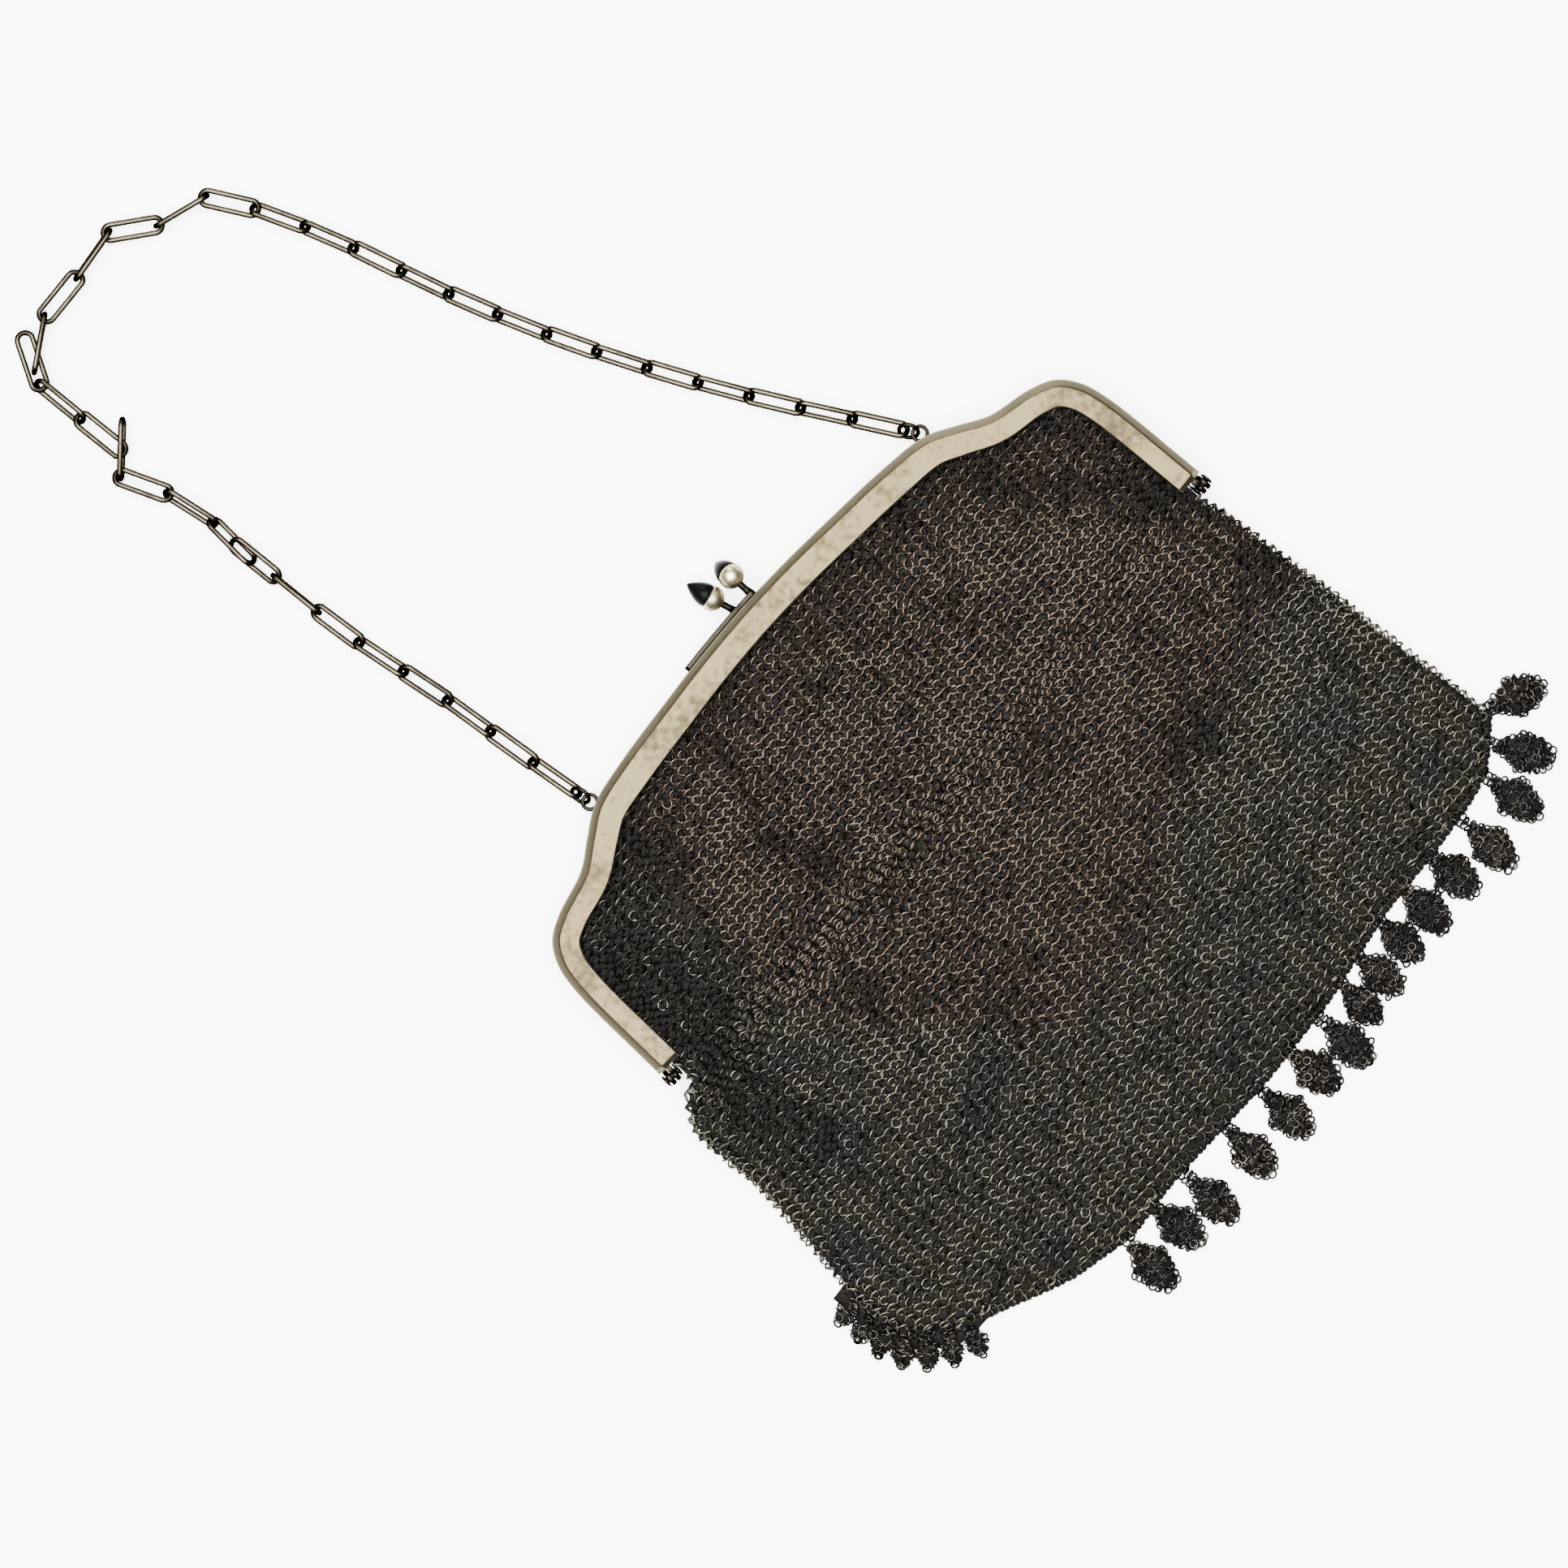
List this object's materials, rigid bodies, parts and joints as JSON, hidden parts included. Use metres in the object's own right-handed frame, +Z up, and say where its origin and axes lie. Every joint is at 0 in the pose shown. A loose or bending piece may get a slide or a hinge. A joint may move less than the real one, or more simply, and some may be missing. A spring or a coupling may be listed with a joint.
{
  "type": "metal mesh purse",
  "caption": "Flat metal mesh purse with an arched hinged frame, kiss-lock clasp, oval link wrist chain and a fringe of ring-mesh drops, lying closed with its chain laid out.",
  "frame": {"origin": "middle of the flat face of the back frame half, under the crown of its arch, on which the purse lies", "axes": "+X along the frame to the right as seen from the front, +Y from the bag towards the chain, +Z up out of the front half"},
  "size_m": [0.1807, 0.2857, 0.01],
  "materials": {
    "frame_silver": "satin",
    "aged_silver": "satin",
    "dark_tip": "gloss",
    "ring_mesh": "satin",
    "ring_fringe": "satin"
  },
  "bodies": {
    "root": {"frame_back": "frame_silver", "frame_front": "frame_silver", "hinge_pin_left": "aged_silver", "hinge_pin_right": "aged_silver", "clasp_arm_back": "frame_silver", "clasp_arm_front": "frame_silver", "clasp_tip_back": "dark_tip", "clasp_tip_front": "dark_tip", "jump_ring_left": "aged_silver", "jump_ring_right": "aged_silver", "chain_link_01": "aged_silver", "chain_link_02": "aged_silver", "chain_link_03": "aged_silver", "chain_link_04": "aged_silver", "chain_link_05": "aged_silver", "chain_link_06": "aged_silver", "chain_link_07": "aged_silver", "chain_link_08": "aged_silver", "chain_link_09": "aged_silver", "chain_link_10": "aged_silver", "chain_link_11": "aged_silver", "chain_link_12": "aged_silver", "chain_link_13": "aged_silver", "chain_link_14": "aged_silver", "chain_link_15": "aged_silver", "chain_link_16": "aged_silver", "chain_link_17": "aged_silver", "chain_link_18": "aged_silver", "chain_link_19": "aged_silver", "chain_link_20": "aged_silver", "chain_link_21": "aged_silver", "chain_link_22": "aged_silver", "chain_link_23": "aged_silver", "chain_link_24": "aged_silver", "chain_link_25": "aged_silver", "chain_link_26": "aged_silver", "chain_link_27": "aged_silver", "chain_link_28": "aged_silver", "chain_link_29": "aged_silver", "chain_link_30": "aged_silver", "chain_link_31": "aged_silver", "chain_link_32": "aged_silver", "chain_link_33": "aged_silver", "chain_link_34": "aged_silver", "mesh_bag": "ring_mesh", "fringe": "ring_fringe"}
  },
  "joints": []
}
